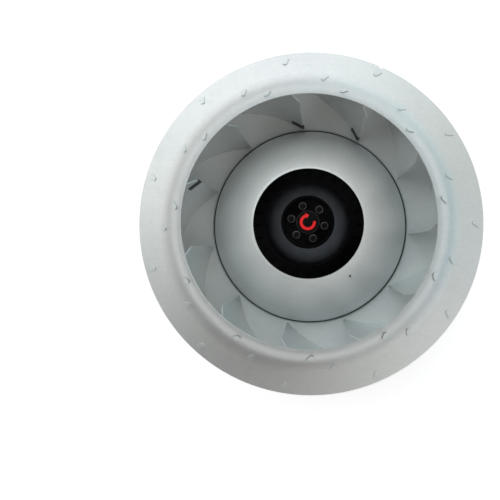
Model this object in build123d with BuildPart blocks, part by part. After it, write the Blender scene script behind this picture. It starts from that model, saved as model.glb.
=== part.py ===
from build123d import *

import os
from math import acos, asin, atan2, cos, degrees, hypot, radians, sin, tan

# Motorized impeller: a centrifugal wheel of sheet steel on an external rotor motor.
# The wheel turns about Z and draws air in from +Z. The motor flange rests on Z = 0.

os.makedirs("parts", exist_ok=True)

# Wheel discs
wheel_radius = 158.0
blade_end_margin = 2.0
disc_sheet = 1.0
hub_face = 30.0
outlet_width = 57.5
shroud_slope = 16.0
flare_radius = 34.5
inlet_radius = 112.4
inlet_height = 92.2
nick_radius = 1.8
nick_angle = 64.8

# Hub plate inside the blades: a pressed groove, a dome and a collar on the rotor
crease_radius = 94.7
crease_to_blade_tip = 3.1
crease_width = 1.4
crease_depth = 0.9
dome_height = 50.0
dome_bulge = 7.5
dome_top_gap = 1.2
collar_length = 10.0
collar_round = 0.35
drain_hole_radius = 1.1
drain_hole_place = 62.3
drain_hole_angle = -51.6

# Blades: each is an arc that starts at the tip beside the dome and runs outward
blade_count = 11
blade_sheet = 1.0
blade_arc_radius = 112.0
blade_tip_angle = 34.5
blade_corner_height = 79.0
blade_corner_back = 2.5
blade_chamfer_height = 87.0
blade_chamfer_reach = 5.0
first_blade_angle = 93.4
lean_along_x = -3.0
lean_along_y = 14.2
lean_height = 100.0

# Tabs that hold the blades in both discs
tab_fold_width = 5.6
tab_end_width = 3.2
tab_length = 6.8
tab_round = 1.2
tab_stem_width = 5.0
slot_clearance = 0.12
shroud_tab_shares = (0.2968, 0.525, 0.9247)
hub_tab_shares = (0.0935, 0.4214, 0.7493)

# Balance clips on the leading edges: which blade, counted clockwise, and how high
clip_length = 12.0
clip_height = 8.0
clip_sheet = 0.6
clip_clearance = 0.12
clip_places = ((0, 1.0), (1, 1.0), (9, 66.0))

# Rotor housing
rotor_radius = 51.3
rotor_wall = 4.0
rotor_rear = 11.0
rotor_front_rise = 50.5
rotor_front_wall = 5.5
rotor_edge_width = 1.0
fin_count = 24
fin_width = 0.9
fin_height = 2.0
fin_inner_radius = 43.4
fin_groove_depth = 2.6
cone_step = 1.3
cone_base_radius = 40.0
cone_top_radius = 23.9
cone_height = 26.0
cone_wall = 3.4
cone_round = 0.8
recess_radius = 21.5
recess_depth = 4.6
recess_floor_thickness = 3.5

# Screws, cap and arrow in the recess
screw_count = 6
screw_circle = 15.3
screw_first_angle = 107.7
screw_head_radius = 3.45
screw_head_height = 2.2
screw_head_round = 1.1
screw_socket = 3.2
screw_socket_depth = 1.3
screw_shank_radius = 2.0
screw_shank_length = 8.5
screw_clearance = 0.2
cap_radius = 10.3
cap_height = 3.0
cap_round = 0.5
arrow_radius = 5.95
arrow_stroke = 2.6
arrow_raise = 0.3
arrow_start = 8.0
arrow_sweep = 262.0
arrow_head_width = 5.4
arrow_head_length = 2.9

# Shaft and its hub
shaft_radius = 6.0
shaft_overhang = 3.5
shaft_hub_radius = 19.0
shaft_hub_thickness = 6.0
shaft_hub_sleeve_radius = 8.8
circlip_thickness = 1.0
circlip_radius = 8.2
circlip_gap = 60.0
circlip_groove_depth = 0.4

# Ball bearings
bearing_radius = 16.0
bearing_width = 10.0
ball_radius = 2.95
ball_count = 7
ball_pitch_radius = 11.0
ball_clearance = 0.05
race_half_gap = 1.7
cage_thickness = 1.2
cage_half_height = 3.6
cage_clearance = 0.12
front_bearing_bottom = 78.0
rear_bearing_bottom = 14.0
washer_height = 1.6
washer_sheet = 0.5
washer_inner_radius = 13.0
washer_clearance = 0.12

# Stator
tube_radius = 19.0
tube_bore = 13.8
tube_shoulder = 21.0
stack_bottom = 28.0
stack_height = 36.0
stator_radius = 42.0
air_gap = 0.4
slot_count = 24
slot_inner_radius = 25.5
slot_outer_radius = 39.5
slot_width_inner = 3.4
slot_width_outer = 6.2
slot_mouth = 2.0
slot_mouth_reach = 4.0
insulator_thickness = 1.5
insulator_wall = 0.4
insulator_inner_radius = 21.3
winding_split_radius = 32.5
winding_head_height = 8.0
winding_head_round = 2.0
bar_count = 30
bar_radius = 1.3
bar_circle = 44.6
end_ring_height = 4.0
protector_length = 12.0
protector_width = 5.0
protector_height = 3.0
protector_place = 28.9

# Mounting flange
flange_radius = 50.0
flange_thickness = 9.0
flange_chamfer = 0.8
spigot_outer = 46.0
spigot_inner = 40.5
spigot_height = 5.0
mount_count = 4
mount_circle = 42.0
mount_first_angle = 45.0
mount_hole_radius = 2.5
mount_hole_depth = 7.5
cover_recess = 1.0
cover_sheet = 1.2
cover_skirt = 5.0
gland_radius = 3.9
gland_depth = 7.0
gland_collar_radius = 4.3
gland_collar_length = 2.0
gland_sleeve_length = 8.0
gland_sleeve_end_radius = 3.3
gland_bore = 2.6
lead_passage_place = 36.5
lead_passage_radius = 3.0
earth_angle = 180.0
earth_place = 42.0
earth_head_radius = 3.8
earth_head_height = 2.4
earth_recess_radius = 4.8
earth_recess_depth = 3.2
earth_shank_radius = 2.0
earth_shank_length = 4.5
earth_slot_width = 1.0
earth_slot_depth = 1.0

# Heights and places that follow from the sizes above
lip_z = hub_face + inlet_height
rotor_front = hub_face + rotor_front_rise
rotor_bore = rotor_radius - rotor_wall
rotor_ceiling = rotor_front - rotor_front_wall
cone_base = rotor_front - cone_step
cone_top = cone_base + cone_height
recess_floor = cone_top - recess_depth
recess_underside = recess_floor - recess_floor_thickness
front_bearing_top = front_bearing_bottom + bearing_width
rear_bearing_top = rear_bearing_bottom + bearing_width
washer_top = rear_bearing_top + washer_height
shaft_bottom = rear_bearing_bottom - shaft_overhang
stack_top = stack_bottom + stack_height
rear_winding_bottom = stack_bottom - insulator_thickness - winding_head_height
front_winding_bottom = stack_top + insulator_thickness
blade_tip_radius = crease_radius + crease_to_blade_tip
blade_end_radius = wheel_radius - blade_end_margin
blade_pitch = 360 / blade_count
first_turn = first_blade_angle - 90
lean = Vector(lean_along_x, lean_along_y, lean_height)
lean_stretch = lean.length / lean_height

# Centre of the blade's arc, with the blade's tip on the Y axis
arc_centre_x = -blade_arc_radius * sin(radians(blade_tip_angle))
arc_centre_y = blade_tip_radius - blade_arc_radius * cos(radians(blade_tip_angle))

# Centre of the shroud's flare
slope = radians(shroud_slope)
flare_centre_r = inlet_radius + flare_radius
flare_start_r = flare_centre_r - flare_radius * sin(slope)
flare_start_z = hub_face + outlet_width + (wheel_radius - flare_start_r) * tan(slope)
flare_centre_z = flare_start_z + flare_radius * cos(slope)

# Circle of the dome's outer surface, through its foot and its top
dome_foot_r = crease_radius
dome_foot_z = hub_face - crease_depth
dome_top_r = rotor_radius + disc_sheet + dome_top_gap
dome_top_z = hub_face + dome_height
dome_run = dome_foot_r - dome_top_r
dome_rise = dome_top_z - dome_foot_z
dome_chord = hypot(dome_run, dome_rise)
dome_radius = dome_chord**2 / (8 * dome_bulge) + dome_bulge / 2
dome_sink = (dome_radius - dome_bulge) / dome_chord
dome_centre_r = (dome_foot_r + dome_top_r) / 2 - dome_rise * dome_sink
dome_centre_z = (dome_foot_z + dome_top_z) / 2 - dome_run * dome_sink
dome_foot_turn = degrees(atan2(dome_foot_z - dome_centre_z, dome_foot_r - dome_centre_r))
dome_top_turn = degrees(atan2(dome_top_z - dome_centre_z, dome_top_r - dome_centre_r))


def save(piece, name):
    """Name a finished piece and write its file."""
    piece.label = name
    export_step(piece, f"parts/{name}.step")


def arc_turn(distance):
    """Turn about the arc's centre, in degrees, at a distance along the blade from its tip."""
    return 90 - blade_tip_angle + degrees(distance / blade_arc_radius)


def blade_run(height):
    """Length of a blade along its arc at a height above the hub face, from its tip to its end radius."""
    shift = height / lean_height
    x = arc_centre_x + lean_along_x * shift
    y = arc_centre_y + lean_along_y * shift
    off_axis = hypot(x, y)
    reach = (blade_end_radius**2 - off_axis**2 - blade_arc_radius**2) / (2 * off_axis * blade_arc_radius)
    end_turn = degrees(atan2(y, x) - acos(reach))
    return radians((end_turn - arc_turn(0)) % 360) * blade_arc_radius


def leaned_plane(height, x=0.0, y=0.0, turn=0.0):
    """Level plane at a height above the hub face, shifted as far as a blade leans there."""
    shift = height / lean_height
    origin = (x + lean_along_x * shift, y + lean_along_y * shift, hub_face + height)
    return Plane(origin=origin, x_dir=(cos(radians(turn)), sin(radians(turn)), 0))


def blade_band(start, end, thickness, low, high):
    """Leaning piece of a blade's sheet, between two distances along it and two heights."""
    sweep_angle = degrees((end - start) / blade_arc_radius)
    centre = (arc_centre_x, arc_centre_y)
    with BuildPart() as band:
        with BuildSketch(leaned_plane(low)):
            with BuildLine():
                outer = CenterArc(centre, blade_arc_radius + thickness / 2, arc_turn(start), sweep_angle)
                inner = CenterArc(centre, blade_arc_radius - thickness / 2, arc_turn(start), sweep_angle)
                Line(outer @ 0, inner @ 0)
                Line(outer @ 1, inner @ 1)
            make_face()
        extrude(amount=(high - low) * lean_stretch, dir=lean)
    return band.part


def tab_flap(distance, low, high):
    """Leaning prism with the outline of a folded tab, its wide end along the blade."""
    turn = arc_turn(distance)
    x = arc_centre_x + blade_arc_radius * cos(radians(turn))
    y = arc_centre_y + blade_arc_radius * sin(radians(turn))
    fold = -0.55 * blade_sheet
    with BuildPart() as flap:
        with BuildSketch(leaned_plane(low, x, y, turn + 90)):
            with BuildLine():
                Polyline(
                    (-tab_fold_width / 2, fold),
                    (tab_fold_width / 2, fold),
                    (tab_end_width / 2, fold + tab_length),
                    (-tab_end_width / 2, fold + tab_length),
                    close=True,
                )
            end_corners = make_face().vertices().group_by(Axis.Y)[-1]
            fillet(end_corners, tab_round)
        extrude(amount=(high - low) * lean_stretch, dir=lean)
    return flap.part


def flare_arc(distance):
    """Arc of the shroud's flare at a distance from its flow side, from the cone to the lip."""
    radius = flare_radius - distance
    start = 270 - shroud_slope
    end = 180 + degrees(asin((flare_centre_z - lip_z) / radius))
    return CenterArc((flare_centre_r, flare_centre_z), radius, start, end - start)


def rim_z(distance, radius=wheel_radius):
    """Height of the shroud's cone at a radius, at a distance from its flow side."""
    return hub_face + outlet_width + (wheel_radius - radius) * tan(slope) + distance / cos(slope)


def shroud_layer(low, high):
    """Profile of the shroud's sheet, or of a layer on it, between two distances from its flow side."""
    with BuildSketch(Plane.XZ) as layer:
        with BuildLine():
            below = flare_arc(low)
            above = flare_arc(high)
            Line(below @ 1, above @ 1)
            Polyline(below @ 0, (wheel_radius, rim_z(low)), (wheel_radius, rim_z(high)), above @ 0)
        make_face()
    return layer.sketch


def flow_space():
    """Profile of the space between the hub face and the shroud, as far out as the blades reach."""
    with BuildSketch(Plane.XZ) as space:
        with BuildLine():
            flare = flare_arc(0)
            inner = rotor_radius
            Polyline(
                flare @ 1,
                (inner, lip_z),
                (inner, hub_face),
                (blade_end_radius, hub_face),
                (blade_end_radius, rim_z(0, blade_end_radius)),
                flare @ 0,
            )
        make_face()
    return space.sketch


# Places of the tabs along a blade
shroud_run = blade_run(outlet_width)
hub_run = blade_run(0)
shroud_tab_places = [share * shroud_run for share in shroud_tab_shares]
hub_tab_places = [share * hub_run for share in hub_tab_shares]

# Hub plate
with BuildPart() as hub_plate:
    with BuildSketch(Plane.XZ):
        with BuildLine():
            dome_sweep = dome_top_turn - dome_foot_turn
            dome_centre = (dome_centre_r, dome_centre_z)
            dome_outside = CenterArc(dome_centre, dome_radius, dome_foot_turn, dome_sweep)
            dome_inside = CenterArc(dome_centre, dome_radius - disc_sheet, dome_foot_turn, dome_sweep)
            Polyline(
                dome_outside @ 0,
                (crease_radius + crease_width - crease_depth / 2, dome_foot_z),
                (crease_radius + crease_width, hub_face),
                (wheel_radius, hub_face),
                (wheel_radius, hub_face - disc_sheet),
                (crease_radius + crease_width + disc_sheet / 2, hub_face - disc_sheet),
                (crease_radius + crease_width, dome_foot_z - disc_sheet),
                (dome_foot_r - disc_sheet, dome_foot_z - disc_sheet),
                dome_inside @ 0,
            )
            Polyline(
                dome_outside @ 1,
                (rotor_radius + collar_round, dome_top_z + collar_round),
                (rotor_radius, dome_top_z),
                (rotor_radius, dome_top_z - collar_length),
                (rotor_radius + disc_sheet, dome_top_z - collar_length),
                (rotor_radius + disc_sheet, dome_top_z - disc_sheet),
                dome_inside @ 1,
            )
        make_face()
    revolve(axis=Axis.Z)
    with Locations(Rotation(0, 0, drain_hole_angle) * Pos(drain_hole_place, 0, dome_top_z)):
        Cylinder(drain_hole_radius, dome_height, mode=Mode.SUBTRACT)
    with PolarLocations(0, blade_count, start_angle=first_turn):
        for place in hub_tab_places:
            reach = tab_stem_width / 2 + slot_clearance
            slot_width = blade_sheet + 2 * slot_clearance
            slot = blade_band(place - reach, place + reach, slot_width, -2 * disc_sheet, disc_sheet)
            add(slot, mode=Mode.SUBTRACT)
save(hub_plate.part, "hub_plate")

# Inlet shroud
with BuildPart() as inlet_shroud:
    add(shroud_layer(0, disc_sheet))
    revolve(axis=Axis.Z)
    with PolarLocations(0, blade_count, start_angle=first_turn):
        for place in shroud_tab_places:
            reach = tab_stem_width / 2 + slot_clearance
            slot_width = blade_sheet + 2 * slot_clearance
            slot = blade_band(place - reach, place + reach, slot_width, outlet_width, inlet_height)
            add(slot, mode=Mode.SUBTRACT)
    with Locations(Rotation(0, 0, nick_angle) * Pos(wheel_radius, 0, rim_z(0))):
        Cylinder(nick_radius, 4 * disc_sheet, mode=Mode.SUBTRACT)
save(inlet_shroud.part, "inlet_shroud")

# One blade, with its tip on the Y axis
with BuildPart() as shroud_tab_layer:
    add(shroud_layer(disc_sheet, disc_sheet + blade_sheet))
    revolve(axis=Axis.Z)

with BuildPart() as shroud_stem_layer:
    add(shroud_layer(0, disc_sheet + blade_sheet))
    revolve(axis=Axis.Z)

with BuildPart() as shroud_flaps:
    for place in shroud_tab_places:
        add(tab_flap(place, outlet_width, inlet_height))
    add(shroud_tab_layer.part, mode=Mode.INTERSECT)

with BuildPart() as shroud_stems:
    for place in shroud_tab_places:
        reach = tab_stem_width / 2
        add(blade_band(place - reach, place + reach, blade_sheet, outlet_width, inlet_height))
    add(shroud_stem_layer.part, mode=Mode.INTERSECT)

tip_turn = radians(arc_turn(0) + 90)
tip_plane = Plane(
    origin=(0, blade_tip_radius, hub_face),
    x_dir=(cos(tip_turn), sin(tip_turn), 0),
    z_dir=(sin(tip_turn), -cos(tip_turn), 0),
)
lean_at_tip = (lean_along_x * cos(tip_turn) + lean_along_y * sin(tip_turn)) / lean_height


def edge_point(distance, height):
    """Point of the leading edge's outline, seen square to the blade's tip."""
    return distance + lean_at_tip * height, height


with BuildPart() as blade_space:
    add(flow_space())
    revolve(axis=Axis.Z)

with BuildPart() as blade:
    add(blade_band(-2 * blade_corner_back, hub_run + tab_length, blade_sheet, 0, inlet_height))
    add(blade_space.part, mode=Mode.INTERSECT)
    with BuildSketch(tip_plane):
        with BuildLine():
            clear = tab_length + lean_at_tip * inlet_height
            Polyline(
                edge_point(0, -blade_sheet),
                edge_point(-blade_corner_back, blade_corner_height),
                edge_point(blade_chamfer_reach, blade_chamfer_height),
                edge_point(blade_chamfer_reach, inlet_height + blade_sheet),
                (-clear, inlet_height + blade_sheet),
                (-clear, -blade_sheet),
                close=True,
            )
        make_face()
    extrude(amount=lean_along_y, both=True, mode=Mode.SUBTRACT)
    add(shroud_stems.part)
    add(shroud_flaps.part)
    for place in hub_tab_places:
        reach = tab_stem_width / 2
        add(blade_band(place - reach, place + reach, blade_sheet, -disc_sheet - blade_sheet, 0))
        add(tab_flap(place, -disc_sheet - blade_sheet, -disc_sheet))

for index in range(blade_count):
    with BuildPart() as placed_blade:
        add(blade.part, rotation=(0, 0, first_turn - index * blade_pitch))
    save(placed_blade.part, f"blade_{index + 1:02d}")

# Balance clips
for number, (blade_index, height) in enumerate(clip_places, start=1):
    clip_top = height + clip_height
    edge = -blade_corner_back * clip_top / blade_corner_height - clip_clearance
    with BuildPart() as clip:
        add(blade_band(edge - clip_sheet, edge + clip_length, blade_sheet + 2 * clip_sheet, height, clip_top))
        add(blade_band(edge, edge + 2 * clip_length, blade_sheet, height, clip_top), mode=Mode.SUBTRACT)
    with BuildPart() as placed_clip:
        add(clip.part, rotation=(0, 0, first_turn - blade_index * blade_pitch))
    save(placed_clip.part, f"balance_clip_{number:02d}")

# Rotor housing
cone_run = (cone_base_radius - cone_top_radius) / cone_height
cone_wall_level = cone_wall * hypot(1, cone_run)


def cone_inside(height):
    """Radius of the hollow inside the cone at a height."""
    return cone_base_radius - (height - cone_base) * cone_run - cone_wall_level


with BuildPart() as rotor_housing:
    with BuildSketch(Plane.XZ):
        with BuildLine():
            groove_floor = rotor_front - fin_groove_depth
            groove_outer = rotor_radius - rotor_edge_width
            Polyline(
                (rotor_bore, rotor_rear),
                (rotor_radius, rotor_rear),
                (rotor_radius, rotor_front),
                (groove_outer, rotor_front),
                (groove_outer, groove_floor),
                (fin_inner_radius, groove_floor),
                (fin_inner_radius, cone_base),
                (cone_base_radius, cone_base),
                (cone_top_radius, cone_top),
                (recess_radius, cone_top),
                (recess_radius, recess_floor),
                (shaft_radius, recess_floor),
                (shaft_radius, recess_underside),
                (cone_inside(recess_underside), recess_underside),
                (cone_inside(rotor_ceiling), rotor_ceiling),
                (rotor_bore, rotor_ceiling),
                close=True,
            )
        make_face()
    revolve(axis=Axis.Z)
    fin_length = groove_outer - fin_inner_radius
    with Locations((0, 0, groove_floor + fin_height / 2)):
        with PolarLocations((groove_outer + fin_inner_radius) / 2, fin_count):
            Box(fin_length, fin_width, fin_height)
    top_edges = rotor_housing.edges().filter_by(GeomType.CIRCLE).group_by(Axis.Z)[-1]
    fillet(top_edges, cone_round)
    with Locations((0, 0, recess_floor)):
        with PolarLocations(screw_circle, screw_count, start_angle=screw_first_angle):
            Hole(screw_shank_radius + screw_clearance, recess_floor_thickness)
save(rotor_housing.part, "rotor_housing")

# Screws that clamp the housing to the shaft hub
with BuildPart() as hub_screw:
    with BuildSketch(Plane.XY):
        Circle(screw_head_radius)
    extrude(amount=screw_head_height)
    fillet(hub_screw.faces().sort_by(Axis.Z)[-1].edges(), screw_head_round)
    with BuildSketch(Plane.XY.offset(screw_head_height)):
        RegularPolygon(screw_socket / 2, 6, major_radius=False)
    extrude(amount=-screw_socket_depth, mode=Mode.SUBTRACT)
    with BuildSketch(Plane.XY):
        Circle(screw_shank_radius)
    extrude(amount=-screw_shank_length)

with BuildPart() as hub_screws:
    with Locations((0, 0, recess_floor)):
        with PolarLocations(screw_circle, screw_count, start_angle=screw_first_angle):
            add(hub_screw.part)
save(hub_screws.part, "hub_screws")

# Cap over the shaft's end, and the arrow on it
with BuildPart() as centre_cap:
    with BuildSketch(Plane.XY.offset(recess_floor)):
        Circle(cap_radius)
    extrude(amount=cap_height)
    fillet(centre_cap.faces().sort_by(Axis.Z)[-1].edges(), cap_round)
save(centre_cap.part, "centre_cap")

with BuildPart() as rotation_arrow:
    with BuildSketch(Plane.XY.offset(recess_floor + cap_height)):
        with BuildLine():
            wide = CenterArc((0, 0), arrow_radius + arrow_stroke / 2, arrow_start, -arrow_sweep)
            narrow = CenterArc((0, 0), arrow_radius - arrow_stroke / 2, arrow_start, -arrow_sweep)
            Line(wide @ 0, narrow @ 0)
            Line(wide @ 1, narrow @ 1)
        make_face()
        head_turn = arrow_start - arrow_sweep
        with Locations(Rotation(0, 0, head_turn) * Pos(arrow_radius, 0)):
            Triangle(
                a=arrow_head_width,
                b=hypot(arrow_head_width / 2, arrow_head_length),
                c=hypot(arrow_head_width / 2, arrow_head_length),
                rotation=180,
                align=(Align.CENTER, Align.MIN),
            )
    extrude(amount=arrow_raise)
save(rotation_arrow.part, "rotation_arrow")

# Shaft hub: the steel flange on the shaft that carries the housing
with BuildPart() as shaft_hub:
    with BuildSketch(Plane.XZ):
        with BuildLine():
            Polyline(
                (shaft_radius, front_bearing_top),
                (shaft_hub_sleeve_radius, front_bearing_top),
                (shaft_hub_sleeve_radius, recess_underside - shaft_hub_thickness),
                (shaft_hub_radius, recess_underside - shaft_hub_thickness),
                (shaft_hub_radius, recess_underside),
                (shaft_radius, recess_underside),
                close=True,
            )
        make_face()
    revolve(axis=Axis.Z)
    with Locations((0, 0, recess_underside)):
        with PolarLocations(screw_circle, screw_count, start_angle=screw_first_angle):
            Hole(screw_shank_radius, screw_shank_length - recess_floor_thickness)
save(shaft_hub.part, "shaft_hub")

# Shaft, with a groove for its circlip below the rear bearing
with BuildPart() as shaft:
    with BuildSketch(Plane.XY.offset(shaft_bottom)):
        Circle(shaft_radius)
    extrude(amount=recess_floor - shaft_bottom)
    chamfer(shaft.faces().sort_by(Axis.Z)[0].edges(), circlip_groove_depth)
    with BuildSketch(Plane.XY.offset(rear_bearing_bottom)):
        Circle(shaft_radius)
        Circle(shaft_radius - circlip_groove_depth, mode=Mode.SUBTRACT)
    extrude(amount=-circlip_thickness, mode=Mode.SUBTRACT)
save(shaft.part, "shaft")

with BuildPart() as shaft_circlip:
    with BuildSketch(Plane.XY.offset(rear_bearing_bottom)):
        Circle(circlip_radius)
        Circle(shaft_radius - circlip_groove_depth, mode=Mode.SUBTRACT)
        with BuildLine():
            mouth = circlip_radius * tan(radians(circlip_gap / 2))
            Polyline((0, 0), (circlip_radius, mouth), (circlip_radius, -mouth), close=True)
        make_face(mode=Mode.SUBTRACT)
    extrude(amount=-circlip_thickness)
save(shaft_circlip.part, "shaft_circlip")


def bearing_ring(inner_radius, outer_radius, bottom):
    """Ball bearing ring with its ball groove."""
    with BuildPart() as ring:
        with BuildSketch(Plane.XZ):
            with Locations(((inner_radius + outer_radius) / 2, bottom + bearing_width / 2)):
                Rectangle(outer_radius - inner_radius, bearing_width)
            with Locations((ball_pitch_radius, bottom + bearing_width / 2)):
                Circle(ball_radius + ball_clearance, mode=Mode.SUBTRACT)
        revolve(axis=Axis.Z)
    return ring.part


def ball_set(bottom):
    """The balls of one bearing."""
    with BuildPart() as balls:
        with Locations((0, 0, bottom + bearing_width / 2)):
            with PolarLocations(ball_pitch_radius, ball_count):
                Sphere(ball_radius)
    return balls.part


def ball_cage(bottom):
    """Ring with a pocket for each ball."""
    with BuildPart() as cage:
        with BuildSketch(Plane.XY.offset(bottom + bearing_width / 2 - cage_half_height)):
            Circle(ball_pitch_radius + cage_thickness / 2)
            Circle(ball_pitch_radius - cage_thickness / 2, mode=Mode.SUBTRACT)
        extrude(amount=2 * cage_half_height)
        with Locations((0, 0, bottom + bearing_width / 2)):
            with PolarLocations(ball_pitch_radius, ball_count):
                pocket_depth = 3 * cage_thickness
                Cylinder(ball_radius + cage_clearance, pocket_depth, rotation=(0, 90, 0), mode=Mode.SUBTRACT)
    return cage.part


for end, bottom in (("front", front_bearing_bottom), ("rear", rear_bearing_bottom)):
    inner_race = ball_pitch_radius - race_half_gap
    outer_race = ball_pitch_radius + race_half_gap
    save(bearing_ring(shaft_radius, inner_race, bottom), f"{end}_bearing_inner_ring")
    save(bearing_ring(outer_race, bearing_radius, bottom), f"{end}_bearing_outer_ring")
    save(ball_set(bottom), f"{end}_bearing_balls")
    save(ball_cage(bottom), f"{end}_bearing_cage")

# Coned spring washer that preloads the rear bearing against the tube's shoulder
with BuildPart() as preload_washer:
    with BuildSketch(Plane.XZ):
        with BuildLine():
            washer_outer = bearing_radius - washer_clearance
            Polyline(
                (washer_inner_radius, rear_bearing_top),
                (washer_inner_radius + washer_sheet, rear_bearing_top),
                (washer_outer, washer_top - washer_sheet),
                (washer_outer, washer_top),
                (washer_outer - washer_sheet, washer_top),
                (washer_inner_radius, rear_bearing_top + washer_sheet),
                close=True,
            )
        make_face()
    revolve(axis=Axis.Z)
save(preload_washer.part, "preload_washer")


def slot_outline(margin, mouth_reach):
    """Outline of one stator slot on the X axis, drawn in by a margin, with a mouth if it reaches out."""
    inner = slot_inner_radius + margin
    outer = slot_outer_radius - margin
    with BuildSketch() as outline:
        with BuildLine():
            Polyline(
                (inner, slot_width_inner / 2 - margin),
                (outer, slot_width_outer / 2 - margin),
                (outer, margin - slot_width_outer / 2),
                (inner, margin - slot_width_inner / 2),
                close=True,
            )
        make_face()
        if mouth_reach > 0:
            with Locations((slot_outer_radius, 0)):
                Rectangle(2 * mouth_reach, slot_mouth)
    return outline.sketch


def slotted_disc(bottom, height, inner, outer, margin, mouth_reach):
    """Round plate with all the stator's slots."""
    with BuildPart() as disc:
        with BuildSketch(Plane.XY.offset(bottom)):
            Circle(outer)
            Circle(inner, mode=Mode.SUBTRACT)
            with PolarLocations(0, slot_count):
                add(slot_outline(margin, mouth_reach), mode=Mode.SUBTRACT)
        extrude(amount=height)
    return disc.part


def winding_head(bottom, inner, outer, free_end):
    """Wound ring of wire at one end of the stack, rounded on its free face."""
    with BuildPart() as head:
        with BuildSketch(Plane.XY.offset(bottom)):
            Circle(outer)
            Circle(inner, mode=Mode.SUBTRACT)
        extrude(amount=winding_head_height)
        fillet(head.faces().sort_by(Axis.Z)[free_end].edges(), winding_head_round)
    return head.part


def winding(first_slot, inner, outer):
    """Coil sides in every second slot, joined by a wound head at each end of the stack."""
    bar_bottom = stack_bottom - insulator_thickness
    with BuildPart() as coils:
        with BuildSketch(Plane.XY.offset(bar_bottom)):
            with PolarLocations(0, slot_count // 2, start_angle=first_slot * 360 / slot_count):
                add(slot_outline(insulator_wall, 0))
        extrude(amount=stack_height + 2 * insulator_thickness)
        add(winding_head(rear_winding_bottom, inner, outer, 0))
        add(winding_head(front_winding_bottom, inner, outer, -1))
    return coils.part


# Stator core, its insulators and its two windings
stator_core = slotted_disc(stack_bottom, stack_height, tube_radius, stator_radius, 0, slot_mouth_reach)
save(stator_core, "stator_core")

insulator_radius = stator_radius - insulator_wall
for name, bottom in (
    ("rear_slot_insulator", stack_bottom - insulator_thickness),
    ("front_slot_insulator", stack_top),
):
    insulator = slotted_disc(
        bottom, insulator_thickness, insulator_inner_radius, insulator_radius, insulator_wall, 0
    )
    save(insulator, name)

winding_inner = slot_inner_radius + insulator_wall
winding_outer = slot_outer_radius - insulator_wall
save(winding(0, winding_inner, winding_split_radius), "main_winding")
save(winding(1, winding_split_radius, winding_outer), "auxiliary_winding")

with BuildPart() as thermal_protector:
    with BuildSketch(Plane.XY.offset(rear_winding_bottom)):
        with Locations((protector_place, 0)):
            Rectangle(protector_width, protector_length)
    extrude(amount=-protector_height)
    fillet(thermal_protector.edges().filter_by(Axis.Z), protector_width / 5)
save(thermal_protector.part, "thermal_protector")

# Rotor laminations and the squirrel cage that is cast through them
with BuildPart() as rotor_core:
    with BuildSketch(Plane.XY.offset(stack_bottom)):
        Circle(rotor_bore)
        Circle(stator_radius + air_gap, mode=Mode.SUBTRACT)
        with PolarLocations(bar_circle, bar_count):
            Circle(bar_radius, mode=Mode.SUBTRACT)
    extrude(amount=stack_height)
save(rotor_core.part, "rotor_core")

with BuildPart() as rotor_cage:
    with BuildSketch(Plane.XY.offset(stack_bottom)):
        with PolarLocations(bar_circle, bar_count):
            Circle(bar_radius)
    extrude(amount=stack_height)
    with BuildSketch(Plane.XY.offset(stack_bottom), Plane.XY.offset(stack_top + end_ring_height)):
        Circle(rotor_bore)
        Circle(stator_radius + air_gap, mode=Mode.SUBTRACT)
    extrude(amount=-end_ring_height)
save(rotor_cage.part, "rotor_cage")

# Mounting flange with its bearing tube
with BuildPart() as mounting_flange:
    with BuildSketch(Plane.XZ):
        with BuildLine():
            Polyline(
                (bearing_radius, 0),
                (flange_radius - flange_chamfer, 0),
                (flange_radius, flange_chamfer),
                (flange_radius, flange_thickness - flange_chamfer),
                (flange_radius - flange_chamfer, flange_thickness),
                (spigot_outer, flange_thickness),
                (spigot_outer, flange_thickness + spigot_height),
                (spigot_inner, flange_thickness + spigot_height),
                (spigot_inner, flange_thickness),
                (tube_shoulder, flange_thickness),
                (tube_shoulder, stack_bottom),
                (tube_radius, stack_bottom),
                (tube_radius, front_bearing_top),
                (bearing_radius, front_bearing_top),
                (bearing_radius, front_bearing_bottom),
                (tube_bore, front_bearing_bottom),
                (tube_bore, washer_top),
                (bearing_radius, washer_top),
                close=True,
            )
        make_face()
    revolve(axis=Axis.Z)
    with BuildSketch(Plane.XY):
        with PolarLocations(mount_circle, mount_count, start_angle=mount_first_angle):
            Circle(mount_hole_radius)
    extrude(amount=mount_hole_depth, mode=Mode.SUBTRACT)
    gland_plane = Plane(
        origin=(0, -flange_radius, flange_thickness / 2), x_dir=(1, 0, 0), z_dir=(0, -1, 0)
    )
    with BuildSketch(gland_plane):
        Circle(gland_radius)
    extrude(amount=-gland_depth, mode=Mode.SUBTRACT)
    with BuildSketch(gland_plane):
        Circle(lead_passage_radius)
    extrude(amount=lead_passage_place - flange_radius, mode=Mode.SUBTRACT)
    with BuildSketch(Plane.XY.offset(flange_thickness)):
        with Locations((0, -lead_passage_place)):
            Circle(lead_passage_radius)
    extrude(amount=-flange_thickness / 2, mode=Mode.SUBTRACT)
    with Locations(Rotation(0, 0, earth_angle) * Pos(earth_place, 0, 0)):
        Cylinder(earth_recess_radius, 2 * earth_recess_depth, mode=Mode.SUBTRACT)
        Cylinder(earth_shank_radius, 2 * (earth_recess_depth + earth_shank_length), mode=Mode.SUBTRACT)
save(mounting_flange.part, "mounting_flange")

# Cover over the rear bearing
with BuildPart() as bearing_cover:
    with BuildSketch(Plane.XY.offset(cover_recess)):
        Circle(bearing_radius)
    extrude(amount=cover_skirt)
    with BuildSketch(Plane.XY.offset(cover_recess + cover_sheet)):
        Circle(bearing_radius - cover_sheet)
    extrude(amount=cover_skirt, mode=Mode.SUBTRACT)
save(bearing_cover.part, "bearing_cover")

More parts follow.
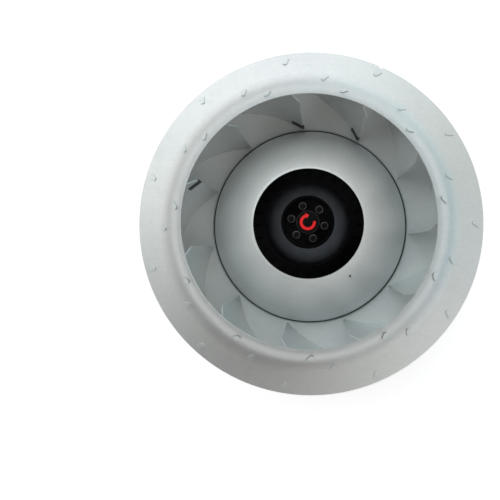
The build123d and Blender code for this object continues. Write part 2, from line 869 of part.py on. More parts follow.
# Cable gland in the flange's edge
with BuildPart() as cable_gland:
    with BuildSketch(gland_plane.offset(-gland_depth)):
        Circle(gland_radius)
    extrude(amount=gland_depth)
    with BuildSketch(gland_plane):
        Circle(gland_collar_radius)
    extrude(amount=gland_collar_length)
    with BuildSketch(gland_plane.offset(gland_collar_length)):
        Circle(gland_radius)
    with BuildSketch(gland_plane.offset(gland_collar_length + gland_sleeve_length)):
        Circle(gland_sleeve_end_radius)
    loft()
    with BuildSketch(gland_plane.offset(-gland_depth)):
        Circle(gland_bore)
    extrude(amount=gland_depth + gland_collar_length + gland_sleeve_length, mode=Mode.SUBTRACT)
save(cable_gland.part, "cable_gland")

# Earth screw, sunk in the flange's rear face
with BuildPart() as earth_screw:
    with BuildSketch(Plane.XY.offset(earth_recess_depth - earth_head_height)):
        Circle(earth_head_radius)
    extrude(amount=earth_head_height)
    with BuildSketch(Plane.XY.offset(earth_recess_depth)):
        Circle(earth_shank_radius)
    extrude(amount=earth_shank_length)
    with BuildSketch(Plane.XY.offset(earth_recess_depth - earth_head_height)):
        Rectangle(2 * earth_head_radius, earth_slot_width)
    extrude(amount=earth_slot_depth, mode=Mode.SUBTRACT)

with BuildPart() as placed_earth_screw:
    with Locations(Rotation(0, 0, earth_angle) * Pos(earth_place, 0, 0)):
        add(earth_screw.part)
save(placed_earth_screw.part, "earth_screw")
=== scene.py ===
"""Finishes, fitted pieces, light and camera for the motorized impeller, around its CAD pieces."""

import math

import bpy
from mathutils import Matrix, Vector


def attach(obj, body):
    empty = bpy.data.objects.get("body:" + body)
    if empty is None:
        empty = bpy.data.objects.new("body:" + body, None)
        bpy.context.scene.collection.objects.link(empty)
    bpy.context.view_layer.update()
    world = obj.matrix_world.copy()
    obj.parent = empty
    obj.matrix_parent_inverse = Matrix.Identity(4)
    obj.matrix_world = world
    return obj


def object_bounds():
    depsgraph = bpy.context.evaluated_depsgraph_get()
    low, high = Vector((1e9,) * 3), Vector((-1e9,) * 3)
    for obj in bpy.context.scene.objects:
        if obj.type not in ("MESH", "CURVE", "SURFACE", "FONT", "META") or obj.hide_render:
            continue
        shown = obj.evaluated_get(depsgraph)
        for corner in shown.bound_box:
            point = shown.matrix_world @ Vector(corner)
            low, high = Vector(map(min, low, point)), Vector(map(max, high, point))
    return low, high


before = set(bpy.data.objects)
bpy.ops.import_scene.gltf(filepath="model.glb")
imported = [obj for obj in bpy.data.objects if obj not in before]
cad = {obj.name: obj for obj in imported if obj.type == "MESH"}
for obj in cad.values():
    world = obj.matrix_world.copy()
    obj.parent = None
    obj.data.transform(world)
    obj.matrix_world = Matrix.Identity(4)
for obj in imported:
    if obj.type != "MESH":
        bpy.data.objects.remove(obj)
cad_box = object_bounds()

# Sizes in metres, in the frame of the CAD pieces: Z is the spin axis, and the inlet faces +Z.
BOLT_HOLES = 4
BOLT_CIRCLE = 0.042
FIRST_BOLT = math.radians(45)
THREAD_RADIUS = 0.0025
THREAD_PITCH = 0.001
THREAD_DEPTH = 0.0066
GLAND_HEIGHT = 0.0045
GLAND_FIRST_RIB = -0.0531
GLAND_LAST_RIB = -0.0595
GLAND_RIBS = 6
GLAND_RIB_RADIUS = 0.00385
GLAND_TAPER = 0.017


# ---------------------------------------------------------------- node helpers


def put(tree, kind, inputs=None, **settings):
    """Adds a node. An input given as a socket is linked, and any other input is set."""
    node = tree.nodes.new(kind)
    for name, value in settings.items():
        setattr(node, name, value)
    for name, value in (inputs or {}).items():
        if isinstance(value, bpy.types.NodeSocket):
            tree.links.new(value, node.inputs[name])
        else:
            node.inputs[name].default_value = value
    return node


def maths(tree, operation, first, second=0.0, clamp=False):
    """A Math node's value."""
    node = put(tree, "ShaderNodeMath", {0: first, 1: second}, operation=operation)
    node.use_clamp = clamp
    return node.outputs[0]


def spread(tree, value, low, high, to_low=0.0, to_high=1.0):
    """The value moved from low..high to to_low..to_high, held at both ends."""
    inputs = {"Value": value, "From Min": low, "From Max": high}
    inputs.update({"To Min": to_low, "To Max": to_high})
    return put(tree, "ShaderNodeMapRange", inputs).outputs["Result"]


def blend_colours(tree, share, first, second, blend="MIX"):
    """Two colours mixed by a share from 0 to 1."""
    node = put(tree, "ShaderNodeMix", data_type="RGBA", blend_type=blend)
    for index, value in ((0, share), (6, first), (7, second)):
        if isinstance(value, bpy.types.NodeSocket):
            tree.links.new(value, node.inputs[index])
        else:
            node.inputs[index].default_value = value
    return node.outputs[2]


def grey(level, tint=(1.0, 1.0, 1.0)):
    """A linear colour from one level and a tint."""
    return tuple(level * part for part in tint) + (1.0,)


def effect(name, inputs, outputs):
    """An empty shader node group with named inputs and outputs."""
    tree = bpy.data.node_groups.new(name, "ShaderNodeTree")
    for label, kind, value in inputs:
        socket = tree.interface.new_socket(label, in_out="INPUT", socket_type=kind)
        if value is not None:
            socket.default_value = value
    for label, kind in outputs:
        tree.interface.new_socket(label, in_out="OUTPUT", socket_type=kind)
    return tree, put(tree, "NodeGroupInput").outputs, put(tree, "NodeGroupOutput").inputs


def use(tree, group, inputs):
    """Places an effect group in a material and gives its outputs."""
    node = tree.nodes.new("ShaderNodeGroup")
    node.node_tree = group
    for name, value in inputs.items():
        if isinstance(value, bpy.types.NodeSocket):
            tree.links.new(value, node.inputs[name])
        else:
            node.inputs[name].default_value = value
    return node.outputs


VECTOR, FLOAT, COLOUR = "NodeSocketVector", "NodeSocketFloat", "NodeSocketColor"


# ---------------------------------------------------------------- effects shared by the finishes


def make_zinc_crystals():
    """The patches of a zinc coat, each a little lighter or duller than the next."""
    tree, given, out = effect(
        "zinc_crystals",
        [("Place", VECTOR, None), ("Crystal Size", FLOAT, 0.004), ("Ragged Edges", FLOAT, 0.6)],
        [("Tone", FLOAT), ("Dullness", FLOAT)],
    )
    per_metre = maths(tree, "DIVIDE", 1.0, given["Crystal Size"])
    ripple = put(tree, "ShaderNodeTexNoise", {"Vector": given["Place"], "Detail": 2.0})
    tree.links.new(maths(tree, "MULTIPLY", per_metre, 1.7), ripple.inputs["Scale"])
    push = maths(tree, "MULTIPLY", given["Crystal Size"], given["Ragged Edges"])
    moved = put(tree, "ShaderNodeVectorMath", {0: ripple.outputs["Color"], "Scale": push}, operation="SCALE")
    place = put(tree, "ShaderNodeVectorMath", {0: given["Place"], 1: moved.outputs[0]}, operation="ADD")
    cells = put(tree, "ShaderNodeTexVoronoi", {"Vector": place.outputs[0], "Scale": per_metre})
    parts = put(tree, "ShaderNodeSeparateColor", {"Color": cells.outputs["Color"]})
    tree.links.new(parts.outputs["Red"], out["Tone"])
    tree.links.new(parts.outputs["Green"], out["Dullness"])
    return tree


def make_fine_grain():
    """Fine even grain in a skin, as tone and height."""
    tree, given, out = effect(
        "fine_grain",
        [("Place", VECTOR, None), ("Grain Size", FLOAT, 0.0008)],
        [("Tone", FLOAT), ("Height", FLOAT)],
    )
    per_metre = maths(tree, "DIVIDE", 1.0, given["Grain Size"])
    fine = put(tree, "ShaderNodeTexNoise", {"Vector": given["Place"], "Scale": per_metre, "Detail": 3.0})
    coarse = put(tree, "ShaderNodeTexNoise", {"Vector": given["Place"], "Detail": 4.0})
    tree.links.new(maths(tree, "MULTIPLY", per_metre, 0.04), coarse.inputs["Scale"])
    tree.links.new(coarse.outputs["Fac"], out["Tone"])
    tree.links.new(fine.outputs["Fac"], out["Height"])
    return tree


def make_turned_rings():
    """Rings round the spin axis, as a lathe tool or a pressing die leaves them."""
    tree, given, out = effect(
        "turned_rings",
        [("Place", VECTOR, None), ("Ring Pitch", FLOAT, 0.0006), ("Unevenness", FLOAT, 0.5)],
        [("Tone", FLOAT), ("Height", FLOAT)],
    )
    parts = put(tree, "ShaderNodeSeparateXYZ", {0: given["Place"]})
    across = maths(tree, "ADD", maths(tree, "POWER", parts.outputs["X"], 2.0), maths(tree, "POWER", parts.outputs["Y"], 2.0))
    radius = maths(tree, "SQRT", across)
    along = maths(tree, "ADD", radius, maths(tree, "MULTIPLY", parts.outputs["Z"], 0.61))
    count = maths(tree, "DIVIDE", along, given["Ring Pitch"])
    rings = put(tree, "ShaderNodeTexNoise", {"W": count, "Scale": 1.0, "Detail": 3.0}, noise_dimensions="1D")
    wide = put(tree, "ShaderNodeTexNoise", {"W": count, "Scale": 0.11, "Detail": 2.0}, noise_dimensions="1D")
    mixed = maths(tree, "ADD", rings.outputs["Fac"], maths(tree, "MULTIPLY", wide.outputs["Fac"], given["Unevenness"]))
    tree.links.new(mixed, out["Tone"])
    tree.links.new(rings.outputs["Fac"], out["Height"])
    return tree


def make_handling_marks():
    """Thin scratches and rubbed patches from handling."""
    tree, given, out = effect(
        "handling_marks",
        [("Place", VECTOR, None), ("Mark Length", FLOAT, 0.03), ("Amount", FLOAT, 0.3)],
        [("Scratch", FLOAT), ("Rub", FLOAT)],
    )
    per_metre = maths(tree, "DIVIDE", 1.0, given["Mark Length"])
    lines = None
    for turn, squeeze in ((0.5, 26.0), (2.1, 34.0)):
        aimed = put(tree, "ShaderNodeMapping", {"Vector": given["Place"], "Rotation": (0.3, 0.2, turn), "Scale": (1.0, squeeze, 3.0)})
        noise = put(tree, "ShaderNodeTexNoise", {"Vector": aimed.outputs[0], "Scale": per_metre, "Detail": 2.0})
        thin = spread(tree, noise.outputs["Fac"], 0.655, 0.70)
        lines = thin if lines is None else maths(tree, "MAXIMUM", lines, thin)
    patches = put(tree, "ShaderNodeTexNoise", {"Vector": given["Place"], "Scale": per_metre, "Detail": 5.0})
    rubbed = spread(tree, patches.outputs["Fac"], 0.5, 0.7)
    tree.links.new(maths(tree, "MULTIPLY", lines, given["Amount"]), out["Scratch"])
    tree.links.new(maths(tree, "MULTIPLY", rubbed, given["Amount"]), out["Rub"])
    return tree


def make_stacked_lines():
    """Straight lines across Z, as stacked sheets or laid wires show."""
    tree, given, out = effect(
        "stacked_lines",
        [("Place", VECTOR, None), ("Line Pitch", FLOAT, 0.0005)],
        [("Tone", FLOAT), ("Height", FLOAT)],
    )
    parts = put(tree, "ShaderNodeSeparateXYZ", {0: given["Place"]})
    count = maths(tree, "DIVIDE", parts.outputs["Z"], given["Line Pitch"])
    saw = maths(tree, "PINGPONG", count, 0.5)
    sheet = maths(tree, "FLOOR", count)
    shade = put(tree, "ShaderNodeTexWhiteNoise", {"W": sheet}, noise_dimensions="1D")
    tree.links.new(shade.outputs["Value"], out["Tone"])
    tree.links.new(spread(tree, saw, 0.0, 0.16), out["Height"])
    return tree


def make_steep_wall_wear_and_sheen():
    """Mask of the faces that stand steep, in patches: where lacquer thins on the corners, and where a highlight is
    painted on the walls.
    """
    tree, given, out = effect(
        "steep_wall_wear_and_sheen",
        [("Place", VECTOR, None), ("Facing", VECTOR, None), ("Flattest", FLOAT, 0.35)],
        [("Wear And Sheen", FLOAT)],
    )
    parts = put(tree, "ShaderNodeSeparateXYZ", {0: given["Facing"]})
    level = maths(tree, "ABSOLUTE", parts.outputs["Z"])
    steep = spread(tree, maths(tree, "DIVIDE", level, given["Flattest"]), 0.5, 1.0, 1.0, 0.0)
    patchy = put(tree, "ShaderNodeTexNoise", {"Vector": given["Place"], "Scale": 260.0, "Detail": 3.0})
    share = spread(tree, patchy.outputs["Fac"], 0.38, 0.62, 0.35, 1.0)
    tree.links.new(maths(tree, "MULTIPLY", steep, share), out["Wear And Sheen"])
    return tree


def make_painted_crease_shade():
    """Mask of a thin round line of painted shade, in the crease where a pressing tool folded the sheet."""
    tree, given, out = effect(
        "painted_crease_shade",
        [("Place", VECTOR, None), ("Line Radius", FLOAT, 0.0947), ("Line Width", FLOAT, 0.001)],
        [("Line", FLOAT)],
    )
    parts = put(tree, "ShaderNodeSeparateXYZ", {0: given["Place"]})
    across = maths(tree, "ADD", maths(tree, "POWER", parts.outputs["X"], 2.0), maths(tree, "POWER", parts.outputs["Y"], 2.0))
    offset = maths(tree, "ABSOLUTE", maths(tree, "SUBTRACT", maths(tree, "SQRT", across), given["Line Radius"]))
    tree.links.new(spread(tree, maths(tree, "DIVIDE", offset, given["Line Width"]), 0.35, 0.75, 1.0, 0.0), out["Line"])
    return tree


zinc_crystals = make_zinc_crystals()
fine_grain = make_fine_grain()
turned_rings = make_turned_rings()
handling_marks = make_handling_marks()
stacked_lines = make_stacked_lines()
steep_wall_wear_and_sheen = make_steep_wall_wear_and_sheen()
painted_crease_shade = make_painted_crease_shade()


# ---------------------------------------------------------------- finishes


def start_finish(name):
    """A material with its shader and the place on the piece."""
    finish = bpy.data.materials.new(name)
    finish.use_nodes = True
    tree = finish.node_tree
    tree.nodes.clear()
    shader = put(tree, "ShaderNodeBsdfPrincipled")
    output = put(tree, "ShaderNodeOutputMaterial")
    tree.links.new(shader.outputs[0], output.inputs["Surface"])
    place = put(tree, "ShaderNodeTexCoord").outputs["Object"]
    return finish, tree, shader, place


def raise_skin(tree, shader, height, depth, strength=1.0):
    """Bumps the shader's normal by a height from 0 to 1 of the given depth in metres."""
    bump = put(tree, "ShaderNodeBump", {"Height": height, "Distance": depth, "Strength": strength})
    tree.links.new(bump.outputs[0], shader.inputs["Normal"])


def make_sheet(name, light, dark, roughness, shine, rings=0.0, crease_shade_radius=0.0):
    """Galvanised sheet steel: zinc patches, fine grain, pressing rings where it was spun, and a thin dark line of
    painted shade in the fold.
    """
    finish, tree, shader, place = start_finish(name)
    zinc = use(tree, zinc_crystals, {"Place": place, "Crystal Size": 0.0024})
    grain = use(tree, fine_grain, {"Place": place, "Grain Size": 0.0007})
    marks = use(tree, handling_marks, {"Place": place, "Mark Length": 0.05, "Amount": 0.35})
    share = maths(tree, "MULTIPLY_ADD", zinc["Tone"], 0.35)
    share.node.inputs[2].default_value = 0.2
    share = maths(tree, "ADD", share, maths(tree, "MULTIPLY", grain["Tone"], 0.45), clamp=True)
    colour = blend_colours(tree, share, dark, light)
    colour = blend_colours(tree, maths(tree, "MULTIPLY", marks["Scratch"], 0.35), colour, grey(0.9))
    rough = spread(tree, zinc["Dullness"], 0.0, 1.0, roughness - 0.03, roughness + 0.03)
    rough = maths(tree, "ADD", rough, maths(tree, "MULTIPLY", marks["Rub"], 0.08))
    height = maths(tree, "MULTIPLY", grain["Height"], 0.6)
    if rings:
        turned = use(tree, turned_rings, {"Place": place, "Ring Pitch": 0.0011})
        height = maths(tree, "ADD", height, maths(tree, "MULTIPLY", turned["Height"], rings))
    # Painted shade: a thin dark teal line in the crease where the dome meets the flat ring.
    if crease_shade_radius:
        crease_shade = use(tree, painted_crease_shade, {"Place": place, "Line Radius": crease_shade_radius, "Line Width": 0.0012})
        colour = blend_colours(tree, crease_shade["Line"], colour, grey(0.03, (0.3, 1.0, 1.0)))
        rough = maths(tree, "ADD", rough, maths(tree, "MULTIPLY", crease_shade["Line"], 0.3))
    tree.links.new(colour, shader.inputs["Base Color"])
    shader.inputs["Metallic"].default_value = shine
    tree.links.new(rough, shader.inputs["Roughness"])
    raise_skin(tree, shader, height, 0.00003, 0.3)
    return finish


def make_casting():
    """Black lacquer on the cast rotor: dark flats, paler steep walls for wear and a painted highlight, and a cone that
    was turned on a lathe.
    """
    finish, tree, shader, place = start_finish("black_lacquered_casting")
    grain = use(tree, fine_grain, {"Place": place, "Grain Size": 0.0011})
    turned = use(tree, turned_rings, {"Place": place, "Ring Pitch": 0.0005})
    marks = use(tree, handling_marks, {"Place": place, "Mark Length": 0.02, "Amount": 0.4})
    facing = put(tree, "ShaderNodeTexCoord").outputs["Normal"]
    walls = use(tree, steep_wall_wear_and_sheen, {"Place": place, "Facing": facing, "Flattest": 0.3})
    level = maths(tree, "ABSOLUTE", put(tree, "ShaderNodeSeparateXYZ", {0: facing}).outputs["Z"])
    cone = maths(tree, "MULTIPLY", spread(tree, level, 0.38, 0.46), spread(tree, level, 0.62, 0.72, 1.0, 0.0))
    bare = blend_colours(tree, spread(tree, turned["Tone"], 0.4, 1.1), grey(0.16, (0.97, 0.95, 1.08)), grey(0.28, (0.97, 0.95, 1.08)))
    colour = blend_colours(tree, grain["Tone"], grey(0.003), grey(0.007, (1.0, 1.0, 1.1)))
    # Steep walls paler: wear, and a painted highlight on the fin and recess walls.
    colour = blend_colours(tree, maths(tree, "MULTIPLY", walls["Wear And Sheen"], 0.6), colour, grey(0.12))
    colour = blend_colours(tree, maths(tree, "MULTIPLY", marks["Scratch"], 0.15), colour, grey(0.05))
    colour = blend_colours(tree, cone, colour, bare)
    tree.links.new(colour, shader.inputs["Base Color"])
    rough = maths(tree, "ADD", spread(tree, turned["Tone"], 0.4, 1.1, 0.38, 0.46), maths(tree, "MULTIPLY", cone, 0.14))
    tree.links.new(rough, shader.inputs["Roughness"])
    height = maths(tree, "ADD", turned["Height"], maths(tree, "MULTIPLY", grain["Height"], 0.3))
    raise_skin(tree, shader, height, 0.00002, 0.5)
    shader.inputs["Metallic"].default_value = 1.0
    shader.inputs["Anisotropic"].default_value = 0.95
    tangent = put(tree, "ShaderNodeTangent", direction_type="RADIAL", axis="Z")
    tree.links.new(tangent.outputs[0], shader.inputs["Tangent"])
    return finish


def make_plain_metal(name, light, dark, roughness, ring_pitch=0.0004, depth=0.00002):
    """Turned, ground or plated steel with fine rings round the axis."""
    finish, tree, shader, place = start_finish(name)
    turned = use(tree, turned_rings, {"Place": place, "Ring Pitch": ring_pitch})
    marks = use(tree, handling_marks, {"Place": place, "Mark Length": 0.012, "Amount": 0.5})
    tone = spread(tree, turned["Tone"], 0.4, 1.1)
    colour = blend_colours(tree, tone, dark, light)
    tree.links.new(colour, shader.inputs["Base Color"])
    shader.inputs["Metallic"].default_value = 1.0
    rough = maths(tree, "ADD", spread(tree, tone, 0.0, 1.0, roughness, roughness + 0.1), maths(tree, "MULTIPLY", marks["Rub"], 0.15))
    tree.links.new(rough, shader.inputs["Roughness"])
    raise_skin(tree, shader, turned["Height"], depth, 0.6)
    return finish


def make_moulded(name, light, dark, roughness, grain_size=0.0006, depth=0.00005, wall_wear_and_sheen_grey=0.0):
    """Moulded plastic, rubber or lacquer with a fine eroded skin, and, where asked, paler steep walls for wear and a
    painted highlight.
    """
    finish, tree, shader, place = start_finish(name)
    grain = use(tree, fine_grain, {"Place": place, "Grain Size": grain_size})
    marks = use(tree, handling_marks, {"Place": place, "Mark Length": 0.015, "Amount": 0.4})
    colour = blend_colours(tree, grain["Tone"], dark, light)
    # Steep walls paler: wear, and a painted highlight on the rims of the screw heads and the cap.
    if wall_wear_and_sheen_grey:
        facing = put(tree, "ShaderNodeTexCoord").outputs["Normal"]
        walls = use(tree, steep_wall_wear_and_sheen, {"Place": place, "Facing": facing, "Flattest": 0.95})
        colour = blend_colours(tree, walls["Wear And Sheen"], colour, grey(wall_wear_and_sheen_grey))
        shader.inputs["Specular IOR Level"].default_value = 0.15
    tree.links.new(colour, shader.inputs["Base Color"])
    rough = maths(tree, "ADD", spread(tree, grain["Tone"], 0.3, 0.7, roughness - 0.05, roughness + 0.05), maths(tree, "MULTIPLY", marks["Rub"], 0.12))
    tree.links.new(rough, shader.inputs["Roughness"])
    raise_skin(tree, shader, grain["Height"], depth, 0.5)
    return finish


def make_layered(name, light, dark, roughness, pitch, depth, metallic):
    """Stacked laminations or laid wires: thin lines across Z."""
    finish, tree, shader, place = start_finish(name)
    layers = use(tree, stacked_lines, {"Place": place, "Line Pitch": pitch})
    grain = use(tree, fine_grain, {"Place": place, "Grain Size": 0.0009})
    share = maths(tree, "MULTIPLY", layers["Height"], spread(tree, layers["Tone"], 0.0, 1.0, 0.6, 1.0))
    colour = blend_colours(tree, share, dark, light)
    tree.links.new(colour, shader.inputs["Base Color"])
    shader.inputs["Metallic"].default_value = metallic
    rough = spread(tree, grain["Tone"], 0.3, 0.7, roughness - 0.06, roughness + 0.06)
    tree.links.new(rough, shader.inputs["Roughness"])
    raise_skin(tree, shader, layers["Height"], depth, 0.8)
    return finish


shroud_sheet = make_sheet("galvanised_shroud_sheet", grey(0.76, (0.98, 1.0, 1.0)), grey(0.68, (0.97, 1.0, 1.0)), 0.42, 0.6, rings=0.4)
hub_sheet = make_sheet("galvanised_hub_sheet", grey(0.84, (0.98, 1.0, 0.99)), grey(0.77, (0.97, 1.0, 1.0)), 0.42, 0.3, rings=0.3, crease_shade_radius=0.0947)
blade_sheet = make_sheet("galvanised_blade_sheet", grey(0.76, (0.95, 1.0, 1.0)), grey(0.68, (0.94, 1.0, 1.0)), 0.38, 0.45)
clip_steel = make_moulded("blued_spring_steel", grey(0.02), grey(0.008), 0.4)
black_casting = make_casting()
screw_black = make_moulded("blackened_screw_steel", grey(0.006), grey(0.003), 0.35, 0.0003, wall_wear_and_sheen_grey=0.22)
cap_black = make_moulded("black_cap_plastic", grey(0.004), grey(0.002), 0.35, wall_wear_and_sheen_grey=0.15)
arrow_red = make_moulded("red_arrow_paint", grey(1.0, (0.93, 0.012, 0.012)), grey(1.0, (0.85, 0.008, 0.01)), 0.4)
shaft_steel = make_plain_metal("ground_shaft_steel", grey(0.6), grey(0.5), 0.2)
race_steel = make_plain_metal("polished_bearing_steel", grey(0.66), grey(0.58), 0.12, 0.0002, 0.000005)
cage_brown = make_moulded("brown_cage_plastic", grey(0.3, (1.0, 0.62, 0.33)), grey(0.22, (1.0, 0.6, 0.32)), 0.45)
core_steel = make_layered("stacked_core_steel", grey(0.34), grey(0.12), 0.42, 0.0005, 0.00008, 1.0)
cage_aluminium = make_plain_metal("cast_cage_aluminium", grey(0.75), grey(0.6), 0.42, 0.0009, 0.00005)
slot_plastic = make_moulded("cream_insulator_plastic", grey(0.6, (1.0, 0.93, 0.78)), grey(0.5, (1.0, 0.92, 0.76)), 0.5)
wire_copper = make_layered("enamelled_copper_wire", grey(0.62, (1.0, 0.33, 0.12)), grey(0.14, (1.0, 0.3, 0.12)), 0.26, 0.0006, 0.0002, 0.85)
protector_grey = make_moulded("grey_protector_plastic", grey(0.3), grey(0.24), 0.5)
flange_aluminium = make_plain_metal("die_cast_flange_aluminium", grey(0.62, (1.0, 1.0, 0.99)), grey(0.5), 0.4, 0.0012, 0.00006)
gland_black = make_moulded("black_gland_rubber", grey(0.02), grey(0.012), 0.55)
bright_zinc = make_plain_metal("bright_zinc_plate", grey(0.72), grey(0.6), 0.28, 0.0003)

finishes = {
    "hub_plate": hub_sheet,
    "inlet_shroud": shroud_sheet,
    "blade_": blade_sheet,
    "balance_clip_": clip_steel,
    "rotor_housing": black_casting,
    "hub_screws": screw_black,
    "centre_cap": cap_black,
    "rotation_arrow": arrow_red,
    "shaft_hub": shaft_steel,
    "shaft_circlip": clip_steel,
    "shaft": shaft_steel,
    "front_bearing_cage": cage_brown,
    "rear_bearing_cage": cage_brown,
    "front_bearing_": race_steel,
    "rear_bearing_": race_steel,
    "preload_washer": clip_steel,
    "stator_core": core_steel,
    "front_slot_insulator": slot_plastic,
    "rear_slot_insulator": slot_plastic,
    "main_winding": wire_copper,
    "auxiliary_winding": wire_copper,
    "thermal_protector": protector_grey,
    "rotor_core": core_steel,
    "rotor_cage": cage_aluminium,
    "mounting_flange": flange_aluminium,
    "bearing_cover": bright_zinc,
    "cable_gland": gland_black,
    "earth_screw": bright_zinc,
}

for name, piece in cad.items():
    start = next(key for key in finishes if name.startswith(key))
    for place in range(max(1, len(piece.material_slots))):
        if not piece.material_slots:
            piece.data.materials.append(None)
        piece.material_slots[place].material = finishes[start]


# ---------------------------------------------------------------- fitted pieces, by Geometry Nodes


def start_grower(name, inputs):
    """A Geometry Nodes tree with named inputs, and its input and output sockets."""
    tree = bpy.data.node_groups.new(name, "GeometryNodeTree")
    tree.interface.new_socket("Geometry", in_out="INPUT", socket_type="NodeSocketGeometry")
    tree.interface.new_socket("Geometry", in_out="OUTPUT", socket_type="NodeSocketGeometry")
    for label, kind in inputs:
        tree.interface.new_socket(label, in_out="INPUT", socket_type=kind)
    return tree, put(tree, "NodeGroupInput").outputs, put(tree, "NodeGroupOutput").inputs


def finish_grower(tree, given, out, piece):
    """Realizes the copies and gives them their finish."""
    real = put(tree, "GeometryNodeRealizeInstances", {0: piece}).outputs[0]
    dressed = put(tree, "GeometryNodeSetMaterial", {"Geometry": real, "Material": given["Finish"]})
    tree.links.new(dressed.outputs[0], out["Geometry"])
    return tree


def make_threads():
    """A spiral ridge in each hole of a round bolt pattern."""
    tree, given, out = start_grower(
        "bolt_threads",
        [("Thread Radius", FLOAT), ("Pitch", FLOAT), ("Turns", FLOAT), ("Bolt Circle", FLOAT)]
        + [("First Angle", FLOAT), ("Holes", "NodeSocketInt"), ("Finish", "NodeSocketMaterial")],
    )
    rise = maths(tree, "MULTIPLY", given["Pitch"], given["Turns"])
    spiral = {"Resolution": 32, "Rotations": given["Turns"], "Height": rise}
    spiral.update({"Start Radius": given["Thread Radius"], "End Radius": given["Thread Radius"]})
    ridge = maths(tree, "MULTIPLY", given["Pitch"], 0.42)
    profile = put(tree, "GeometryNodeCurvePrimitiveCircle", {"Resolution": 3, "Radius": ridge}, mode="RADIUS")
    path = put(tree, "GeometryNodeCurveSpiral", spiral).outputs[0]
    coil = put(tree, "GeometryNodeCurveToMesh", {"Curve": path, "Profile Curve": profile.outputs[0], "Fill Caps": True})
    lift = put(tree, "ShaderNodeCombineXYZ", {"Z": ridge}).outputs[0]
    raised = put(tree, "GeometryNodeTransform", {"Geometry": coil.outputs[0], "Translation": lift}).outputs[0]
    circle = put(tree, "GeometryNodeMeshCircle", {"Vertices": given["Holes"], "Radius": given["Bolt Circle"]})
    turn = put(tree, "ShaderNodeCombineXYZ", {"Z": given["First Angle"]}).outputs[0]
    places = put(tree, "GeometryNodeTransform", {"Geometry": circle.outputs[0], "Rotation": turn}).outputs[0]
    copies = put(tree, "GeometryNodeInstanceOnPoints", {"Points": places, "Instance": raised}).outputs[0]
    return finish_grower(tree, given, out, copies)


def make_sleeve_ribs():
    """Round ribs along a tapering sleeve that lies along Y."""
    tree, given, out = start_grower(
        "sleeve_ribs",
        [("Rib Radius", FLOAT), ("Rib Thickness", FLOAT), ("Taper", FLOAT), ("First", FLOAT)]
        + [("Step", FLOAT), ("Height", FLOAT), ("Ribs", "NodeSocketInt"), ("Finish", "NodeSocketMaterial")],
    )
    circle = {"Resolution": 48, "Radius": given["Rib Radius"]}
    path = put(tree, "GeometryNodeCurvePrimitiveCircle", circle, mode="RADIUS").outputs[0]
    section = {"Resolution": 10, "Radius": given["Rib Thickness"]}
    profile = put(tree, "GeometryNodeCurvePrimitiveCircle", section, mode="RADIUS").outputs[0]
    rib = put(tree, "GeometryNodeCurveToMesh", {"Curve": path, "Profile Curve": profile}).outputs[0]
    start = put(tree, "ShaderNodeCombineXYZ", {"Y": given["First"], "Z": given["Height"]}).outputs[0]
    step = put(tree, "ShaderNodeCombineXYZ", {"Y": given["Step"]}).outputs[0]
    line = put(tree, "GeometryNodeMeshLine", {"Count": given["Ribs"], "Start Location": start, "Offset": step})
    count = put(tree, "GeometryNodeInputIndex").outputs[0]
    size = maths(tree, "SUBTRACT", 1.0, maths(tree, "MULTIPLY", count, given["Taper"]))
    copies = {"Points": line.outputs[0], "Instance": rib, "Rotation": (math.radians(90), 0.0, 0.0), "Scale": size}
    return finish_grower(tree, given, out, put(tree, "GeometryNodeInstanceOnPoints", copies).outputs[0])


def grow(name, tree, sizes):
    """Runs a tree with the given sizes and keeps what it makes as a plain mesh."""
    piece = bpy.data.objects.new(name, bpy.data.meshes.new(name + "_start"))
    bpy.context.scene.collection.objects.link(piece)
    modifier = piece.modifiers.new("grow", "NODES")
    modifier.node_group = tree
    for socket in tree.interface.items_tree:
        if socket.name in sizes:
            modifier[socket.identifier] = sizes[socket.name]
    made = piece.evaluated_get(bpy.context.evaluated_depsgraph_get())
    mesh = bpy.data.meshes.new_from_object(made)
    piece.modifiers.remove(modifier)
    piece.data = mesh
    mesh.name = name
    return piece


thread_sizes = {"Thread Radius": THREAD_RADIUS, "Pitch": THREAD_PITCH, "Turns": THREAD_DEPTH / THREAD_PITCH}
thread_sizes.update({"Bolt Circle": BOLT_CIRCLE, "First Angle": FIRST_BOLT, "Holes": BOLT_HOLES})
threads = grow("bolt_threads", make_threads(), dict(thread_sizes, Finish=flange_aluminium))
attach(threads, "stator")

rib_step = (GLAND_LAST_RIB - GLAND_FIRST_RIB) / (GLAND_RIBS - 1)
rib_sizes = {"Rib Radius": GLAND_RIB_RADIUS, "Rib Thickness": 0.00028, "Taper": GLAND_TAPER, "First": GLAND_FIRST_RIB}
rib_sizes.update({"Step": rib_step, "Height": GLAND_HEIGHT, "Ribs": GLAND_RIBS})
gland_ribs = grow("gland_ribs", make_sleeve_ribs(), dict(rib_sizes, Finish=gland_black))
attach(gland_ribs, "stator")


# ---------------------------------------------------------------- floor, light and camera


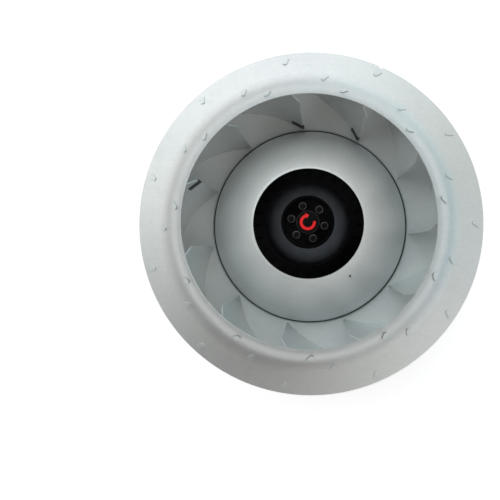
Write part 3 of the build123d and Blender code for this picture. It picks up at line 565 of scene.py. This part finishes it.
def make_floor():
    """A plain pale floor that the camera and the metal see as white, with the object's shadow kept, and a painted
    shadow under the object where the white glow fades out.
    """
    mesh = bpy.data.meshes.new("floor")
    reach = 4.0
    low = cad_box[0][2] - 0.0002
    mesh.from_pydata([(-reach, -reach, low), (reach, -reach, low), (reach, reach, low), (-reach, reach, low)], [], [(0, 1, 2, 3)])
    floor = bpy.data.objects.new("floor", mesh)
    bpy.context.scene.collection.objects.link(floor)
    paint = bpy.data.materials.new("pale_floor")
    paint.use_nodes = True
    tree = paint.node_tree
    tree.nodes.clear()
    rays = put(tree, "ShaderNodeLightPath").outputs
    seen = maths(tree, "MAXIMUM", rays["Is Camera Ray"], maths(tree, "MAXIMUM", rays["Is Glossy Ray"], rays["Is Transmission Ray"]))
    place = put(tree, "ShaderNodeTexCoord").outputs["Object"]
    away = put(tree, "ShaderNodeVectorMath", {0: place}, operation="LENGTH").outputs["Value"]
    # Painted shadow: the white glow fades out under the object, so the floor is darker there.
    glow_outside_painted_shadow = spread(tree, away, 0.12, 0.175)
    matt = put(tree, "ShaderNodeBsdfDiffuse", {"Color": grey(0.55)})
    strength = maths(tree, "MULTIPLY", maths(tree, "MULTIPLY", seen, 0.75), glow_outside_painted_shadow)
    glow = put(tree, "ShaderNodeEmission", {"Color": grey(1.0), "Strength": strength})
    both = put(tree, "ShaderNodeAddShader", {0: matt.outputs[0], 1: glow.outputs[0]})
    tree.links.new(both.outputs[0], put(tree, "ShaderNodeOutputMaterial").inputs["Surface"])
    mesh.materials.append(paint)


def aim(azimuth, elevation):
    """Unit vector toward a place round the object, in degrees from +X and above the floor."""
    flat = math.cos(math.radians(elevation))
    return flat * math.cos(math.radians(azimuth)), flat * math.sin(math.radians(azimuth)), math.sin(math.radians(elevation))


# Soft panels of the studio: azimuth, elevation, half angle that is full, half angle where it ends, colour.
SKY_PANELS = (
    (0, 8, 14, 40, (0.00, 0.24, 0.34)),
    (60, 8, 14, 40, (0.34, 0.58, 0.67)),
    (20, 40, 10, 34, (0.42, 0.42, 0.36)),
    (60, 40, 10, 34, (0.69, 0.64, 0.60)),
    (100, 40, 10, 34, (1.15, 1.13, 1.17)),
    (140, 40, 10, 34, (1.07, 1.06, 1.04)),
    (180, 40, 10, 34, (0.84, 0.83, 0.79)),
    (260, 40, 10, 34, (0.04, 0.00, 0.00)),
    (300, 40, 10, 34, (0.81, 0.80, 0.75)),
    (340, 40, 10, 34, (0.69, 0.66, 0.67)),
    (70, 60, 6, 17, (0.37, 0.48, 0.48)),
    (100, 60, 6, 17, (0.43, 0.58, 0.60)),
    (130, 60, 6, 17, (0.40, 0.58, 0.59)),
    (160, 60, 6, 17, (0.38, 0.56, 0.59)),
)


def make_sky():
    """Soft panels in dark air, a pale wall low down in the metal, and white where the camera sees it."""
    world = bpy.data.worlds.new("studio_air")
    bpy.context.scene.world = world
    world.use_nodes = True
    tree = world.node_tree
    tree.nodes.clear()
    toward = put(tree, "ShaderNodeTexCoord").outputs["Generated"]
    light = None
    for azimuth, elevation, full, end, colour in SKY_PANELS:
        direction = {0: toward, 1: aim(azimuth, elevation)}
        facing = put(tree, "ShaderNodeVectorMath", direction, operation="DOT_PRODUCT").outputs["Value"]
        share = spread(tree, facing, math.cos(math.radians(end)), math.cos(math.radians(full)))
        panel = put(tree, "ShaderNodeVectorMath", {0: colour, "Scale": share}, operation="SCALE").outputs[0]
        if light is not None:
            panel = put(tree, "ShaderNodeVectorMath", {0: light, 1: panel}, operation="ADD").outputs[0]
        light = panel
    rays = put(tree, "ShaderNodeLightPath").outputs
    height = put(tree, "ShaderNodeSeparateXYZ", {0: toward}).outputs["Z"]
    wall = maths(tree, "MULTIPLY", spread(tree, height, 0.03, 0.14, 1.0, 0.0), rays["Is Glossy Ray"])
    light = blend_colours(tree, wall, light, grey(0.75))
    white = maths(tree, "MAXIMUM", rays["Is Camera Ray"], rays["Is Transmission Ray"])
    light = blend_colours(tree, white, light, grey(1.0))
    air = put(tree, "ShaderNodeBackground", {"Color": light, "Strength": 1.0})
    tree.links.new(air.outputs[0], put(tree, "ShaderNodeOutputWorld").inputs["Surface"])


def set_camera():
    """The camera at the photograph's place, solved on points of the real object."""
    lens = bpy.data.cameras.new("camera")
    lens.sensor_width = 36.0
    lens.lens = 57.6
    holder = bpy.data.objects.new("camera", lens)
    bpy.context.scene.collection.objects.link(holder)
    right = Vector((0.99602, 0.0, -0.08917))
    up = Vector((0.0019, 0.99977, 0.02126))
    back = Vector((0.08915, -0.02134, 0.99579))
    turn = Matrix((right, up, back)).transposed().to_4x4()
    holder.matrix_world = Matrix.Translation((0.01235, -0.04053, 0.82604)) @ turn
    bpy.context.scene.camera = holder


make_floor()
make_sky()
set_camera()

scene = bpy.context.scene
scene.view_settings.view_transform = "Standard"
